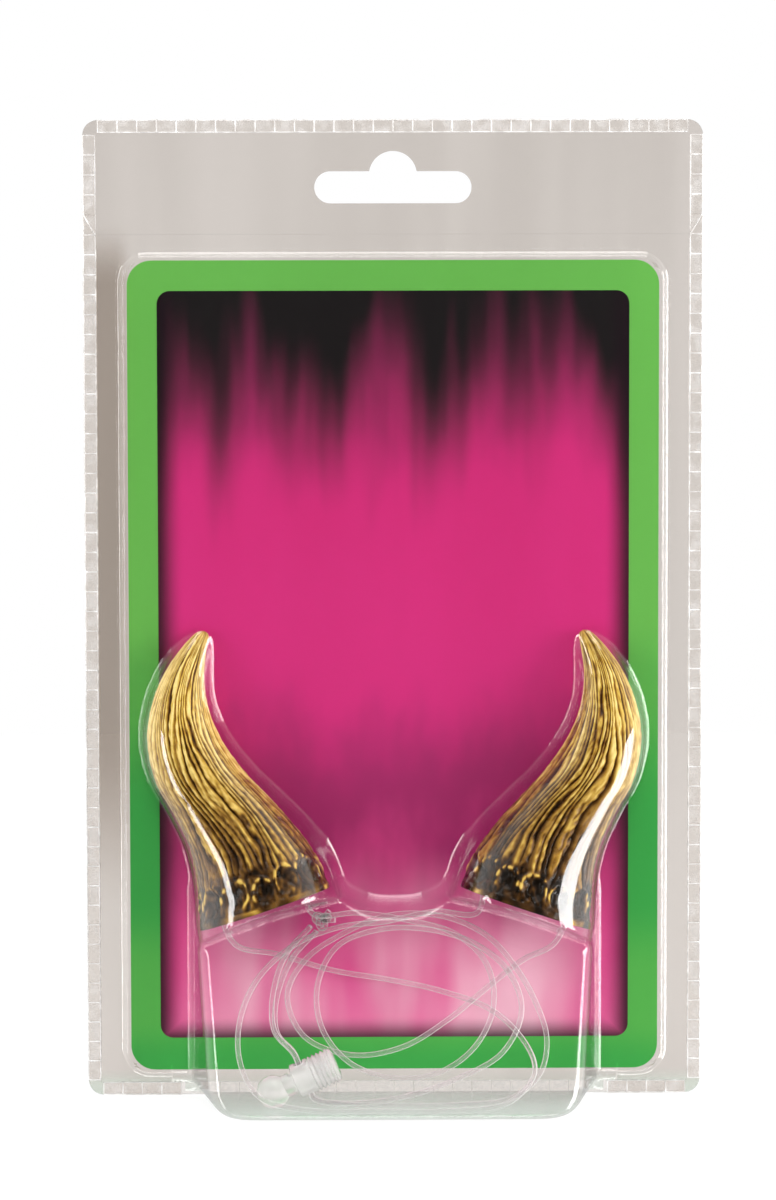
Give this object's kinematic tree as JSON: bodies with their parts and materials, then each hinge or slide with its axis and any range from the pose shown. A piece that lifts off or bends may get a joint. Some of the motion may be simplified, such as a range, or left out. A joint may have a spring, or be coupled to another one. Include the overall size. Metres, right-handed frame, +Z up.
{
  "type": "devil horns on a blister card",
  "caption": "Moulded devil horns threaded on a clear elastic cord with a spring cord lock, held in a clear standing blister pack with a printed card and a hang slot.",
  "frame": {"origin": "middle of the pack's footprint on the surface it stands on", "axes": "+Z up along the pack's height, +X to the right as seen from the front, +Y from the front to the back sheet"},
  "size_m": [0.126, 0.032, 0.2],
  "materials": {
    "clear_sheet": "clear thermoformed sheet",
    "printed_board": "coated printed board",
    "painted_horn": "gold paint over dark brown grooves, satin",
    "clear_elastic": "clear, smooth",
    "clear_lock": "clear moulded",
    "spring_steel": "bright wire"
  },
  "bodies": {
    "pack": {"back_sheet": "clear_sheet", "card": "printed_board", "front_shell": "clear_sheet", "horn_right": "painted_horn", "horn_left": "painted_horn", "elastic_cord": "clear_elastic", "cord_knot": "clear_elastic", "lock_barrel": "clear_lock", "lock_spring": "spring_steel"},
    "button": {"lock_plunger": "clear_lock"}
  },
  "joints": [
    {"name": "plunger_press", "type": "slide", "parent": "pack", "child": "button", "axis": [0.91, 0, 0.4147], "range_m": [0, 0.002], "stiffness_N_per_m": 150, "deforming": ["lock_spring"]}
  ]
}
